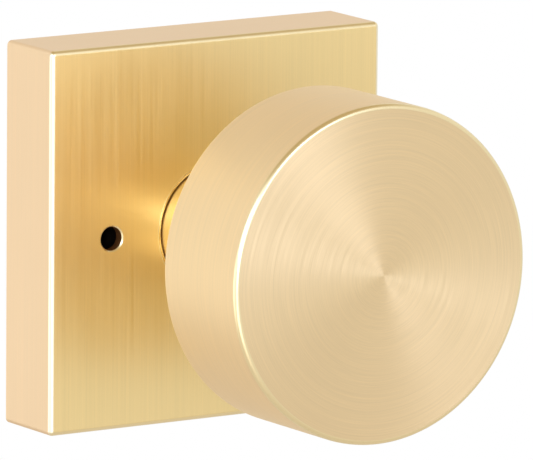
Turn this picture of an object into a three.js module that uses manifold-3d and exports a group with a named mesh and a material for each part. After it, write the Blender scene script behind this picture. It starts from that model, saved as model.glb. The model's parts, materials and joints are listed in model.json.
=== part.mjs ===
// Outside half of a privacy door knob set: a drum knob on a square rose, with its return spring cassette,
// spindle, mounting posts and emergency release. Millimetres. The door's face is the plane y = 0, the knob
// stands out of it along -Y, +Z is up and the knob turns about the Y axis.
//
// A "depth" is a distance out from the door's face, so depth d is the plane y = -d. A negative depth lies
// inside the door, in its cross bore.

import * as THREE from "three";
import { mergeVertices } from "three/addons/utils/BufferGeometryUtils.js";
import Module from "manifold-3d";

// ---------------------------------------------------------------- driving dimensions

const FIT_GAP = 0.3; // between pieces that touch on the real object

const ROSE_SIDE = 67;
const ROSE_DEPTH = 14.6;
const ROSE_FRONT_WALL = 2;
const ROSE_SIDE_WALL = 1.6;
const ROSE_EDGE_RADIUS = 0.7;
const ROSE_CORNER_RADIUS = 0.8;
const ROSE_BORE_RADIUS = 11.75;

const KNOB_RADIUS = 29.2;
const KNOB_BACK = 44.2; // depth of the drum's back edge
const KNOB_RIM = 66.6; // depth of the edge of the drum's face
const KNOB_CROWN = 0.8; // how far the middle of the face stands proud of its edge
const KNOB_WALL = 1.6;
const KNOB_RIM_RADIUS = 1;
const KNOB_BACK_RADIUS = 0.5;
const NECK_RADIUS = 11.25;
const NECK_WALL = 1.65;

const SPINDLE_SIDE = 7.9; // nominal 5/16 inch square bar
const SPINDLE_END = -44;
const DOOR_BORE_RADIUS = 27; // the door's 54 mm cross bore, which the back of the object sits in

const RELEASE_X = -21.2;
const RELEASE_HOLE_RADIUS = 2.1;

const POST_SPACING = 38.1; // nominal 1 1/2 inch between the two mounting screws
const POST_END = -25;
const TURN_LIMIT = THREE.MathUtils.degToRad(60); // the knob turns this far each way

// ---------------------------------------------------------------- derived depths and radii

const PLATE_BACK = 0; // the plate and the rose both stand on the door
const WASHER_FRONT = PLATE_BACK - FIT_GAP;
const WASHER_BACK = WASHER_FRONT - 1;
const PLATE_THICKNESS = 1.8;
const PLATE_FRONT = PLATE_BACK + PLATE_THICKNESS;
const PAN_HALF = 28.5;
const PAN_LIP_TOP = 9;

const HOUSING_TOP = 11.1;
const HOUSING_WALL = 1.4;
const HOUSING_RADIUS = 16.6;
const HOUSING_INNER_RADIUS = HOUSING_RADIUS - HOUSING_WALL;
const HOUSING_FRONT_WALL = 1.2;
const EAR_OFFSET = 13.4; // across and up from the axis to each housing screw
const EAR_RADIUS = 3.4;

const JOURNAL_RADIUS = 8.5;
const SHANK_RADIUS = NECK_RADIUS - NECK_WALL - FIT_GAP;
const SHANK_FLAT = 7; // half the width across the flats that drive the spring driver
const SHANK_BACK = -9;
const SHANK_FRONT = 61;
const SOCKET_HALF = SPINDLE_SIDE / 2 + 0.2;
const SOCKET_FLOOR = 26;
const RING_GROOVE_RADIUS = 7.4;
const RING_FRONT = WASHER_BACK - FIT_GAP;
const RING_BACK = RING_FRONT - 1;
const PIN_DEPTH = -6.2;
const PIN_RADIUS = 1.25;

const BUSH_OUTER_RADIUS = 10.3;
const BUSH_INNER_RADIUS = JOURNAL_RADIUS + FIT_GAP;
const BUSH_FLANGE_RADIUS = 12.5;
const BUSH_FLANGE_THICKNESS = 0.5;
const NECK_END = HOUSING_TOP + BUSH_FLANGE_THICKNESS + 2 * FIT_GAP;

const DRIVER_BACK = PLATE_FRONT + FIT_GAP;
const DRIVER_FLANGE_TOP = DRIVER_BACK + 1.2;
const DRIVER_HUB_TOP = 8.2;
const DRIVER_HUB_RADIUS = 10.9;
const DRIVER_FLANGE_RADIUS = 14.6;
const DRIVER_NOTCH_RADIUS = 12.4;
const STOP_PIN_RADIUS = 0.9;
const STOP_PIN_OFFSET = 13.9; // from the axis

const SPRING_WIRE_RADIUS = 0.75;
const SPRING_RADIUS = 12.2;
const SPRING_TURNS = 2.5;
const SPRING_BACK = DRIVER_FLANGE_TOP + FIT_GAP + SPRING_WIRE_RADIUS;
const SPRING_FRONT = HOUSING_TOP - HOUSING_FRONT_WALL - FIT_GAP - SPRING_WIRE_RADIUS;
const SPRING_SLOT_HALF = SPRING_WIRE_RADIUS + FIT_GAP;

const GUIDE_BACK = -6;
const GUIDE_FRONT = ROSE_DEPTH - ROSE_FRONT_WALL - 0.4;
const GUIDE_OUTER_RADIUS = 3.9;
const GUIDE_BORE_RADIUS = 2.5;
const GUIDE_FLOOR = -4.5;
const PLUNGER_HEAD_RADIUS = 2.2;
const PLUNGER_HEAD_FRONT = 8;
const PLUNGER_HEAD_BACK = 6;
const PLUNGER_STEM_RADIUS = 1.3;
const PLUNGER_TIP = -14;
const CLIP_GROOVE_RADIUS = 0.9;
const CLIP_BACK = -7.1;
const CLIP_FRONT = -6.3;

// ---------------------------------------------------------------- solid helpers

const wasm = await Module();
wasm.setup();

/** A closed three.js geometry as a manifold-3d solid, for joining and cutting. */
function solid(geometry) {
  const bare = geometry.index ? geometry.toNonIndexed() : geometry.clone();
  bare.deleteAttribute("normal");
  bare.deleteAttribute("uv");
  const merged = mergeVertices(bare, 1e-4);
  const made = new wasm.Manifold(
    new wasm.Mesh({
      numProp: 3,
      vertProperties: merged.attributes.position.array,
      triVerts: new Uint32Array(merged.index.array),
    }),
  );
  if (made.volume() >= 0) return made;
  for (let i = 0; i < merged.index.count; i += 3) {
    const second = merged.index.getX(i + 1);
    merged.index.setX(i + 1, merged.index.getX(i + 2));
    merged.index.setX(i + 2, second);
  }
  return solid(merged);
}

/** A manifold-3d solid as a three.js geometry. */
function geometryOf(made) {
  const mesh = made.getMesh();
  const geometry = new THREE.BufferGeometry();
  geometry.setAttribute("position", new THREE.BufferAttribute(new Float32Array(mesh.vertProperties), 3));
  geometry.setIndex(new THREE.BufferAttribute(new Uint32Array(mesh.triVerts), 1));
  const flat = geometry.toNonIndexed();
  flat.computeVertexNormals();
  return flat;
}

/** The base solid with each of the others joined to it. */
function join(base, ...others) {
  return others.reduce((sum, other) => sum.add(other), base);
}

/** The base solid with each of the others cut from it. */
function cut(base, ...others) {
  return others.reduce((rest, other) => rest.subtract(other), base);
}

/** A round body about the Y axis, from a closed outline of [radius, depth] points. */
function turned(outline, segments = 40) {
  const points = outline.map(([radius, depth]) => new THREE.Vector2(Math.max(radius, 0), -depth));
  const onAxis = points[0].x === 0 && points.at(-1).x === 0;
  if (!onAxis) points.push(points[0].clone());
  if (THREE.ShapeUtils.area(points) < 0) points.reverse();
  return solid(new THREE.LatheGeometry(points, segments));
}

/** A plain disc or rod about the Y axis, or about a line parallel to it through (x, z). */
function rod(radius, back, front, x = 0, z = 0, segments = 28) {
  const geometry = new THREE.CylinderGeometry(radius, radius, front - back, segments);
  geometry.translate(x, -(back + front) / 2, z);
  return solid(geometry);
}

/** A rod standing along the Z axis, at a depth, from z0 up to z1. */
function uprightRod(radius, depth, z0, z1, segments = 20) {
  const geometry = new THREE.CylinderGeometry(radius, radius, z1 - z0, segments);
  geometry.rotateX(Math.PI / 2);
  geometry.translate(0, -depth, (z0 + z1) / 2);
  return solid(geometry);
}

/** A block from one corner to the other, both given as [x, depth, z]. */
function block([x0, back, z0], [x1, front, z1]) {
  const geometry = new THREE.BoxGeometry(x1 - x0, front - back, z1 - z0);
  geometry.translate((x0 + x1) / 2, -(back + front) / 2, (z0 + z1) / 2);
  return solid(geometry);
}

/** A slab whose outline is a three.js shape in X and Z, between two depths. */
function slab(shape, back, front, curveSegments = 4) {
  const geometry = new THREE.ExtrudeGeometry(shape, {
    depth: front - back,
    bevelEnabled: false,
    curveSegments,
  });
  geometry.rotateX(Math.PI / 2);
  geometry.translate(0, -back, 0);
  return solid(geometry);
}

/** A square with round corners, centred on the axis. */
function roundedSquare(side, radius) {
  const half = side / 2;
  const inner = half - radius;
  const shape = new THREE.Shape();
  shape.absarc(inner, inner, radius, 0, Math.PI / 2, false);
  shape.absarc(-inner, inner, radius, Math.PI / 2, Math.PI, false);
  shape.absarc(-inner, -inner, radius, Math.PI, 1.5 * Math.PI, false);
  shape.absarc(inner, -inner, radius, 1.5 * Math.PI, 2 * Math.PI, false);
  shape.closePath();
  return shape;
}

/** Points of an arc in [radius, depth], with its centre and its two angles in degrees. */
function arc(centreRadius, centreDepth, radius, from, to, steps) {
  return Array.from({ length: steps + 1 }, (_, i) => {
    const angle = THREE.MathUtils.degToRad(from + ((to - from) * i) / steps);
    return [centreRadius + radius * Math.cos(angle), centreDepth + radius * Math.sin(angle)];
  });
}

/** A round wire swept along a curve, with closed flat ends. */
function wire(curve, radius, steps) {
  const section = new THREE.Shape();
  section.absarc(0, 0, radius, 0, 2 * Math.PI, false);
  const geometry = new THREE.ExtrudeGeometry(section, {
    steps,
    extrudePath: curve,
    curveSegments: 4,
    bevelEnabled: false,
  });
  return solid(geometry);
}

// ---------------------------------------------------------------- materials

const satinBrass = new THREE.MeshStandardMaterial({ color: 0xd9a94f, roughness: 0.34, metalness: 1 });
const zincSteel = new THREE.MeshStandardMaterial({ color: 0xb4b6b4, roughness: 0.38, metalness: 1 });
const springSteel = new THREE.MeshStandardMaterial({ color: 0x8b8d90, roughness: 0.3, metalness: 1 });
const darkSteel = new THREE.MeshStandardMaterial({ color: 0x3a3a3c, roughness: 0.45, metalness: 1 });
const castZinc = new THREE.MeshStandardMaterial({ color: 0x9a9c9f, roughness: 0.55, metalness: 1 });
const acetal = new THREE.MeshStandardMaterial({ color: 0xe9e6dc, roughness: 0.5, metalness: 0 });

// ---------------------------------------------------------------- rose and what is fixed to it

/** Square hollow cover with rounded edges, a bore for the neck, and the emergency release hole. */
function roseCover() {
  const spare = 5; // the extrusion runs past the door's face and is trimmed there
  const outer = new THREE.ExtrudeGeometry(roundedSquare(ROSE_SIDE, ROSE_CORNER_RADIUS), {
    depth: ROSE_DEPTH + spare - 2 * ROSE_EDGE_RADIUS,
    bevelThickness: ROSE_EDGE_RADIUS,
    bevelSize: ROSE_EDGE_RADIUS,
    bevelOffset: -ROSE_EDGE_RADIUS,
    bevelSegments: 3,
    curveSegments: 3,
  });
  outer.rotateX(Math.PI / 2);
  outer.translate(0, spare - ROSE_EDGE_RADIUS, 0);
  const behindDoorFace = block([-ROSE_SIDE, -2 * spare, -ROSE_SIDE], [ROSE_SIDE, 0, ROSE_SIDE]);
  const cavity = slab(
    roundedSquare(ROSE_SIDE - 2 * ROSE_SIDE_WALL, 1),
    -1,
    ROSE_DEPTH - ROSE_FRONT_WALL,
    3,
  );
  const inside = ROSE_SIDE / 2 - ROSE_SIDE_WALL;
  const screwBoss = block([-4, 1.5, -inside - 0.5], [4, 8.5, -PAN_HALF - 1]);
  const shell = join(cut(solid(outer), behindDoorFace, cavity), screwBoss);
  return cut(
    shell,
    rod(ROSE_BORE_RADIUS, 10, 20, 0, 0, 48),
    rod(RELEASE_HOLE_RADIUS, 10, 20, RELEASE_X, 0, 24),
    uprightRod(ROSE_SCREW_RADIUS + FIT_GAP, ROSE_SCREW_DEPTH, -ROSE_SIDE, -PAN_HALF + 1),
  );
}

/** Stamped steel pan that clamps to the door, with lugs that centre it in the cross bore. */
function mountingPlate() {
  const lipThickness = 1.5;
  const base = slab(roundedSquare(2 * PAN_HALF, 4), PLATE_BACK, PAN_LIP_TOP, 4);
  const hollow = slab(
    roundedSquare(2 * (PAN_HALF - lipThickness), 4 - lipThickness),
    PLATE_FRONT,
    PAN_LIP_TOP + 1,
    4,
  );
  let plate = cut(base, hollow);
  for (const [x, z] of EAR_PLACES) {
    plate = join(plate, boreLug(Math.atan2(z, x)));
    plate = cut(plate, rod(HOUSING_SCREW_RADIUS + FIT_GAP, -1, 4, x, z, 16));
  }
  for (const side of [-1, 1]) {
    plate = cut(plate, rod(POST_SPIGOT_RADIUS + FIT_GAP, -1, 4, 0, (side * POST_SPACING) / 2, 20));
  }
  return cut(
    plate,
    rod(JOURNAL_RADIUS + 0.5, -1, 4),
    rod(GUIDE_OUTER_RADIUS + FIT_GAP, -1, 4, RELEASE_X, 0, 24),
    rod(STOP_PIN_RADIUS + FIT_GAP, -1, 4, 0, -STOP_PIN_OFFSET, 12),
  );
}

/** One lug of the mounting plate: a short curved tab just inside the door's cross bore. */
function boreLug(angle) {
  const outerRadius = DOOR_BORE_RADIUS - 0.8;
  const innerRadius = outerRadius - 1.4;
  const halfWidth = THREE.MathUtils.degToRad(7);
  const shape = new THREE.Shape();
  shape.absarc(0, 0, outerRadius, angle - halfWidth, angle + halfWidth, false);
  shape.absarc(0, 0, innerRadius, angle + halfWidth, angle - halfWidth, true);
  shape.closePath();
  return slab(shape, -4, PLATE_BACK + 0.5, 4);
}

/** Cup that holds the return spring, with an ear at each housing screw and a slot for the spring's leg. */
function springHousing() {
  const inner = HOUSING_TOP - HOUSING_FRONT_WALL;
  const back = DRIVER_BACK;
  let cup = turned([
    [BUSH_OUTER_RADIUS + FIT_GAP, HOUSING_TOP],
    [HOUSING_RADIUS - 1, HOUSING_TOP],
    [HOUSING_RADIUS, HOUSING_TOP - 1],
    [HOUSING_RADIUS, back],
    [HOUSING_INNER_RADIUS, back],
    [HOUSING_INNER_RADIUS, inner],
    [BUSH_OUTER_RADIUS + FIT_GAP, inner],
  ]);
  const roomInside = rod(HOUSING_INNER_RADIUS + 0.2, back - 1, back + 5);
  for (const [x, z] of EAR_PLACES) {
    const ear = cut(rod(EAR_RADIUS, back, back + 2, x, z, 20), roomInside);
    cup = cut(join(cup, ear), rod(HOUSING_SCREW_RADIUS + FIT_GAP, back - 1, back + 3, x, z, 16));
  }
  const legSlot = block(
    [-SPRING_SLOT_HALF, SPRING_FRONT - SPRING_SLOT_HALF, -HOUSING_RADIUS - 1],
    [SPRING_SLOT_HALF, SPRING_FRONT + SPRING_SLOT_HALF, -HOUSING_INNER_RADIUS + 1],
  );
  return cut(cup, legSlot);
}

/** Flanged plain bearing that the shank turns in; its flange takes the neck's thrust. */
function neckBushing() {
  const flangeBack = HOUSING_TOP + FIT_GAP;
  return turned([
    [BUSH_INNER_RADIUS, flangeBack + BUSH_FLANGE_THICKNESS],
    [BUSH_FLANGE_RADIUS, flangeBack + BUSH_FLANGE_THICKNESS],
    [BUSH_FLANGE_RADIUS, flangeBack],
    [BUSH_OUTER_RADIUS, flangeBack],
    [BUSH_OUTER_RADIUS, HOUSING_TOP - 2.2],
    [BUSH_INNER_RADIUS, HOUSING_TOP - 2.2],
  ]);
}

const HOUSING_SCREW_RADIUS = 1.2;
const EAR_PLACES = [
  [EAR_OFFSET, EAR_OFFSET],
  [-EAR_OFFSET, EAR_OFFSET],
  [-EAR_OFFSET, -EAR_OFFSET],
  [EAR_OFFSET, -EAR_OFFSET],
];

/** Pan-head screw with a cross recess, driven from the door side. Built about its own axis. */
function housingScrew() {
  const headRadius = 2.8;
  const headBack = -1.7;
  const headFront = PLATE_BACK - FIT_GAP;
  const body = turned(
    [
      [0, headBack],
      [headRadius - 0.8, headBack],
      [headRadius, headBack + 0.7],
      [headRadius, headFront],
      [HOUSING_SCREW_RADIUS, headFront],
      [HOUSING_SCREW_RADIUS, DRIVER_BACK + 2.4],
      [0, DRIVER_BACK + 2.8],
    ],
    20,
  );
  const long = 1.7;
  const half = 0.35;
  return cut(
    body,
    block([-long, headBack - 1, -half], [long, headBack + 1, half]),
    block([-half, headBack - 1, -long], [half, headBack + 1, long]),
  );
}

const POST_SPIGOT_RADIUS = 2.9;

/** Internally threaded hexagonal post that takes a screw from the door's other side. Built about its axis. */
function mountingPost() {
  const acrossFlats = 8;
  const threadMinorRadius = 2.1;
  const shoulderFront = PLATE_BACK - FIT_GAP;
  const shoulderBack = shoulderFront - 1.5;
  const hexagon = new THREE.CylinderGeometry(
    acrossFlats / Math.sqrt(3),
    acrossFlats / Math.sqrt(3),
    shoulderBack - POST_END + 0.2,
    6,
  );
  hexagon.translate(0, -(shoulderBack + POST_END + 0.2) / 2, 0);
  const chamfer = turned([
    [0, POST_END],
    [acrossFlats / 2 - 0.3, POST_END],
    [acrossFlats / 2 + 1.2, POST_END + 1.2],
    [acrossFlats / 2 + 1.2, 0],
    [0, 0],
  ]);
  const post = join(
    solid(hexagon).intersect(chamfer),
    rod(5.5, shoulderBack, shoulderFront),
    rod(POST_SPIGOT_RADIUS, shoulderFront - 0.5, PLATE_FRONT - 0.2, 0, 0, 20),
  );
  const thread = turned(
    [
      [0, POST_END - 1],
      [threadMinorRadius + 0.6, POST_END - 1],
      [threadMinorRadius + 0.6, POST_END],
      [threadMinorRadius, POST_END + 0.6],
      [threadMinorRadius, -5],
      [0, -4],
    ],
    20,
  );
  return cut(post, thread);
}

/** Flat-ended rod that the driver's notch runs against at each end of its turn. */
function stopPin() {
  return rod(STOP_PIN_RADIUS, PLATE_BACK, DRIVER_FLANGE_TOP, 0, -STOP_PIN_OFFSET, 16);
}

const ROSE_SCREW_RADIUS = 2;
const ROSE_SCREW_DEPTH = 5;
const HEX_SOCKET_RADIUS = 1.15;

/** Headless screw with a hexagon socket, standing along Z, its socket facing down. */
function grubScrew(radius, depth, socketEnd, tip) {
  const socket = uprightRod(HEX_SOCKET_RADIUS, depth, socketEnd - 1, socketEnd + 1.6, 6);
  return cut(uprightRod(radius, depth, socketEnd, tip), socket);
}

/** Tube behind the release hole, with a floor that the release spring stands on. */
function releaseGuide() {
  return turned(
    [
      [GUIDE_BORE_RADIUS, GUIDE_FRONT],
      [GUIDE_OUTER_RADIUS - 0.4, GUIDE_FRONT],
      [GUIDE_OUTER_RADIUS, GUIDE_FRONT - 0.4],
      [GUIDE_OUTER_RADIUS, GUIDE_BACK],
      [PLUNGER_STEM_RADIUS + FIT_GAP, GUIDE_BACK],
      [PLUNGER_STEM_RADIUS + FIT_GAP, GUIDE_FLOOR],
      [GUIDE_BORE_RADIUS, GUIDE_FLOOR],
    ],
    28,
  );
}

/** Flat ring between the mounting plate and the retaining ring. */
function backingWasher() {
  return turned([
    [JOURNAL_RADIUS + FIT_GAP, WASHER_FRONT],
    [BUSH_FLANGE_RADIUS, WASHER_FRONT],
    [BUSH_FLANGE_RADIUS, WASHER_BACK],
    [JOURNAL_RADIUS + FIT_GAP, WASHER_BACK],
  ]);
}

// ---------------------------------------------------------------- springs

/** The return spring's wire: a leg in the housing's slot, the coil, and a leg in the driver's slot. */
class TorsionSpringCurve extends THREE.Curve {
  getPoint(t) {
    const legShare = 0.06;
    const coil = THREE.MathUtils.clamp((t - legShare) / (1 - 2 * legShare), 0, 1);
    const angle = -Math.PI / 2 + coil * SPRING_TURNS * 2 * Math.PI;
    const frontLeg = Math.max(0, 1 - t / legShare);
    const backLeg = Math.max(0, 1 - (1 - t) / legShare);
    const radius = SPRING_RADIUS + frontLeg * SPRING_FRONT_LEG + backLeg * SPRING_BACK_LEG;
    const depth = THREE.MathUtils.lerp(SPRING_FRONT, SPRING_BACK, coil);
    return new THREE.Vector3(radius * Math.cos(angle), -depth, radius * Math.sin(angle));
  }
}

const SPRING_FRONT_LEG = HOUSING_RADIUS - SPRING_RADIUS - 0.2;
const SPRING_BACK_LEG = DRIVER_FLANGE_RADIUS - SPRING_RADIUS - 0.2;

/** Coil of round wire about the Y axis, running straight between two depths. */
class HelixCurve extends THREE.Curve {
  constructor(radius, back, front, turns) {
    super();
    Object.assign(this, { radius, back, front, turns });
  }
  getPoint(t) {
    const angle = t * this.turns * 2 * Math.PI;
    const depth = THREE.MathUtils.lerp(this.back, this.front, t);
    return new THREE.Vector3(this.radius * Math.cos(angle), -depth, this.radius * Math.sin(angle));
  }
}

function returnSpring() {
  return wire(new TorsionSpringCurve(), SPRING_WIRE_RADIUS, 70);
}

/** Compression spring between the guide's floor and the plunger's head. Built about its own axis. */
function releaseSpring() {
  const wireRadius = 0.25;
  const clear = wireRadius + 0.15;
  const helix = new HelixCurve(1.9, GUIDE_FLOOR + clear, PLUNGER_HEAD_BACK - clear, 7);
  return wire(helix, wireRadius, 63);
}

// ---------------------------------------------------------------- knob and what turns with it

/** Drum of the knob: one drawn shell with a slightly crowned face and a rounded rim, open at the back. */
function knobShell() {
  const flatRadius = KNOB_RADIUS - KNOB_RIM_RADIUS;
  const crownSteps = 3;
  const crown = Array.from({ length: crownSteps }, (_, i) => {
    const share = i / crownSteps;
    return [flatRadius * share, KNOB_RIM + KNOB_CROWN * (1 - share * share)];
  });
  const innerRadius = KNOB_RADIUS - KNOB_WALL;
  return turned(
    [
      ...crown,
      ...arc(flatRadius, KNOB_RIM - KNOB_RIM_RADIUS, KNOB_RIM_RADIUS, 90, 0, 3),
      ...arc(KNOB_RADIUS - KNOB_BACK_RADIUS, KNOB_BACK + KNOB_BACK_RADIUS, KNOB_BACK_RADIUS, 0, -90, 2),
      [innerRadius, KNOB_BACK],
      [innerRadius, KNOB_RIM - KNOB_WALL - 1],
      [innerRadius - 1, KNOB_RIM - KNOB_WALL],
      [0, KNOB_RIM - KNOB_WALL + KNOB_CROWN / 2],
    ],
    64,
  );
}

const BACK_PLATE_FRONT = KNOB_BACK + 1.8;

/** Disc that closes the drum's back, with a bore for the neck. */
function knobBackPlate() {
  const outerRadius = KNOB_RADIUS - KNOB_WALL - FIT_GAP;
  const back = KNOB_BACK + 0.2;
  return turned(
    [
      [NECK_RADIUS + FIT_GAP, BACK_PLATE_FRONT],
      [outerRadius, BACK_PLATE_FRONT],
      [outerRadius, back + 0.3],
      [outerRadius - 0.3, back],
      [NECK_RADIUS + FIT_GAP, back],
    ],
    48,
  );
}

const NECK_SCREW_DEPTH = 24;
const NECK_SCREW_RADIUS = 2;
const NECK_SCREW_TIP = -SHANK_RADIUS + 1.5;

/** Tube between the rose and the drum, with a flange that holds the drum's back plate from inside. */
function knobNeck() {
  const innerRadius = NECK_RADIUS - NECK_WALL;
  const flangeBack = BACK_PLATE_FRONT + FIT_GAP;
  const neck = turned(
    [
      [innerRadius, NECK_END],
      [NECK_RADIUS - 0.4, NECK_END],
      [NECK_RADIUS, NECK_END + 0.4],
      [NECK_RADIUS, flangeBack],
      [NECK_RADIUS + 3.5, flangeBack],
      [NECK_RADIUS + 3.5, flangeBack + 1.3],
      [innerRadius, flangeBack + 1.3],
    ],
    48,
  );
  return cut(neck, uprightRod(NECK_SCREW_RADIUS + FIT_GAP, NECK_SCREW_DEPTH, -NECK_RADIUS - 2, 0));
}

/** Cast spider inside the drum that ties the shell to the shank. */
function knobInsert() {
  const back = BACK_PLATE_FRONT + 2 * FIT_GAP + 1.3;
  const front = 60;
  const armHalf = 3;
  const reach = KNOB_RADIUS - KNOB_WALL - FIT_GAP;
  let spider = rod(13.5, back, front);
  for (let i = 0; i < 3; i++) {
    const arm = new THREE.BoxGeometry(reach - 5, front - back, 2 * armHalf);
    arm.translate((reach + 5) / 2, -(back + front) / 2, 0);
    arm.rotateY((i * 2 * Math.PI) / 3);
    spider = join(spider, solid(arm));
  }
  const trimmed = spider.intersect(rod(reach, back - 1, front + 1, 0, 0, 64));
  return cut(trimmed, rod(SHANK_RADIUS + FIT_GAP, back - 1, front + 1));
}

/** Steel shank: round in the neck and in the bushing, flatted for the driver, with a square socket. */
function knobShank() {
  const shoulder = NECK_END;
  const body = turned([
    [0, SHANK_BACK],
    [JOURNAL_RADIUS - 0.8, SHANK_BACK],
    [JOURNAL_RADIUS, SHANK_BACK + 0.8],
    [JOURNAL_RADIUS, RING_BACK - FIT_GAP],
    [RING_GROOVE_RADIUS, RING_BACK - FIT_GAP],
    [RING_GROOVE_RADIUS, RING_FRONT + FIT_GAP],
    [JOURNAL_RADIUS, RING_FRONT + FIT_GAP],
    [JOURNAL_RADIUS, shoulder],
    [SHANK_RADIUS, shoulder],
    [SHANK_RADIUS, SHANK_FRONT],
    [0, SHANK_FRONT],
  ]);
  const flats = [-1, 1].map((side) =>
    block(
      [Math.min(side * SHANK_FLAT, side * 12), SHANK_BACK - 1, -12],
      [Math.max(side * SHANK_FLAT, side * 12), DRIVER_HUB_TOP + 0.2, 12],
    ),
  );
  const socket = block(
    [-SOCKET_HALF, SHANK_BACK - 1, -SOCKET_HALF],
    [SOCKET_HALF, SOCKET_FLOOR, SOCKET_HALF],
  );
  const seatRadius = NECK_SCREW_RADIUS + FIT_GAP;
  const setScrewSeat = uprightRod(seatRadius, NECK_SCREW_DEPTH, -12, NECK_SCREW_TIP + FIT_GAP);
  return cut(body, ...flats, socket, crossHole(SHANK_RADIUS), setScrewSeat);
}

/** The hole for the cross pin, along X. */
function crossHole(reach) {
  const geometry = new THREE.CylinderGeometry(PIN_RADIUS + 0.25, PIN_RADIUS + 0.25, 2 * reach, 16);
  geometry.rotateZ(Math.PI / 2);
  geometry.translate(0, -PIN_DEPTH, 0);
  return solid(geometry);
}

/** Collar that winds the return spring: a keyed hub, a flange with a stop notch, and a slotted lug. */
function springDriver() {
  const hub = join(
    rod(DRIVER_HUB_RADIUS, DRIVER_BACK, DRIVER_HUB_TOP, 0, 0, 40),
    rod(DRIVER_FLANGE_RADIUS, DRIVER_BACK, DRIVER_FLANGE_TOP, 0, 0, 48),
  );
  const lug = cut(
    rod(DRIVER_FLANGE_RADIUS, DRIVER_BACK, SPRING_BACK + 1.2, 0, 0, 48),
    rod(SPRING_RADIUS + SPRING_WIRE_RADIUS + FIT_GAP, DRIVER_BACK - 1, 8),
  ).intersect(block([-3.5, 0, 0], [3.5, 10, 20]));
  const legSlot = block(
    [-SPRING_SLOT_HALF, DRIVER_FLANGE_TOP, SPRING_RADIUS],
    [SPRING_SLOT_HALF, 9, DRIVER_FLANGE_RADIUS + 1],
  );
  const halfNotch = TURN_LIMIT + Math.asin((STOP_PIN_RADIUS + 0.35) / STOP_PIN_OFFSET);
  const notchShape = new THREE.Shape();
  notchShape.absarc(0, 0, DRIVER_NOTCH_RADIUS, -Math.PI / 2 - halfNotch, -Math.PI / 2 + halfNotch, false);
  notchShape.absarc(0, 0, 17, -Math.PI / 2 + halfNotch, -Math.PI / 2 - halfNotch, true);
  notchShape.closePath();
  const notch = slab(notchShape, DRIVER_BACK - 1, DRIVER_FLANGE_TOP + 1, 20);
  const keyedBore = rod(JOURNAL_RADIUS + FIT_GAP, DRIVER_BACK - 1, 10, 0, 0, 40).intersect(
    block([-SHANK_FLAT - FIT_GAP, 0, -12], [SHANK_FLAT + FIT_GAP, 10, 12]),
  );
  return cut(join(hub, lug), legSlot, notch, keyedBore);
}

/** Open snap ring in the shank's groove, with two ears for pliers. */
function retainingRing() {
  const outerRadius = 10;
  const innerRadius = RING_GROOVE_RADIUS + FIT_GAP;
  let ring = turned([
    [innerRadius, RING_FRONT],
    [outerRadius, RING_FRONT],
    [outerRadius, RING_BACK],
    [innerRadius, RING_BACK],
  ]);
  for (const side of [-1, 1]) {
    const x = side * 2.6;
    ring = join(ring, rod(1.7, RING_BACK, RING_FRONT, x, outerRadius, 20));
    ring = cut(ring, rod(0.7, RING_BACK - 1, RING_FRONT + 1, x, outerRadius + 0.3, 12));
  }
  return cut(ring, block([-0.9, RING_BACK - 1, 3], [0.9, RING_FRONT + 1, 14]));
}

/** Square bar that works the latch, with chamfered ends. */
function spindle() {
  const half = SPINDLE_SIDE / 2;
  const front = SOCKET_FLOOR - 1;
  const chamfer = 0.8;
  const bar = block([-half, SPINDLE_END, -half], [half, front, half]);
  const reach = half * Math.SQRT2;
  const pointed = turned([
    [0, SPINDLE_END],
    [reach - chamfer, SPINDLE_END],
    [reach, SPINDLE_END + chamfer],
    [reach, front],
    [0, front],
  ]);
  return cut(bar.intersect(pointed), crossHole(half + 1));
}

/** Pin through the shank and the spindle. */
function spindlePin() {
  const geometry = new THREE.CylinderGeometry(PIN_RADIUS, PIN_RADIUS, 2 * SHANK_FLAT, 16);
  geometry.rotateZ(Math.PI / 2);
  geometry.translate(0, -PIN_DEPTH, 0);
  return solid(geometry);
}

// ---------------------------------------------------------------- emergency release

/** Headed rod behind the release hole. Built about its own axis. */
function releasePlunger() {
  return turned(
    [
      [0, PLUNGER_TIP],
      [PLUNGER_STEM_RADIUS - 0.4, PLUNGER_TIP],
      [PLUNGER_STEM_RADIUS, PLUNGER_TIP + 0.6],
      [PLUNGER_STEM_RADIUS, CLIP_BACK - 0.2],
      [CLIP_GROOVE_RADIUS, CLIP_BACK - 0.2],
      [CLIP_GROOVE_RADIUS, CLIP_FRONT + 0.2],
      [PLUNGER_STEM_RADIUS, CLIP_FRONT + 0.2],
      [PLUNGER_STEM_RADIUS, PLUNGER_HEAD_BACK],
      [PLUNGER_HEAD_RADIUS, PLUNGER_HEAD_BACK],
      [PLUNGER_HEAD_RADIUS, PLUNGER_HEAD_FRONT - 0.4],
      [PLUNGER_HEAD_RADIUS - 0.4, PLUNGER_HEAD_FRONT],
      [1, PLUNGER_HEAD_FRONT],
      [0, PLUNGER_HEAD_FRONT - 0.6],
    ],
    20,
  );
}

/** E-clip that keeps the plunger in its guide. Built about the plunger's axis. */
function releaseClip() {
  const ring = turned(
    [
      [CLIP_GROOVE_RADIUS + 0.15, CLIP_FRONT],
      [3, CLIP_FRONT],
      [3, CLIP_BACK],
      [CLIP_GROOVE_RADIUS + 0.15, CLIP_BACK],
    ],
    24,
  );
  return cut(ring, block([-0.85, CLIP_BACK - 1, 0], [0.85, CLIP_FRONT + 1, 4]));
}

// ---------------------------------------------------------------- assembly

const doorKnob = new THREE.Group();

/** Adds one sub-part, and moves it across and up if it was built about its own axis. */
function add(name, made, material, x = 0, z = 0) {
  const mesh = new THREE.Mesh(geometryOf(made), material);
  mesh.name = name;
  mesh.position.set(x, 0, z);
  doorKnob.add(mesh);
}

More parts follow.
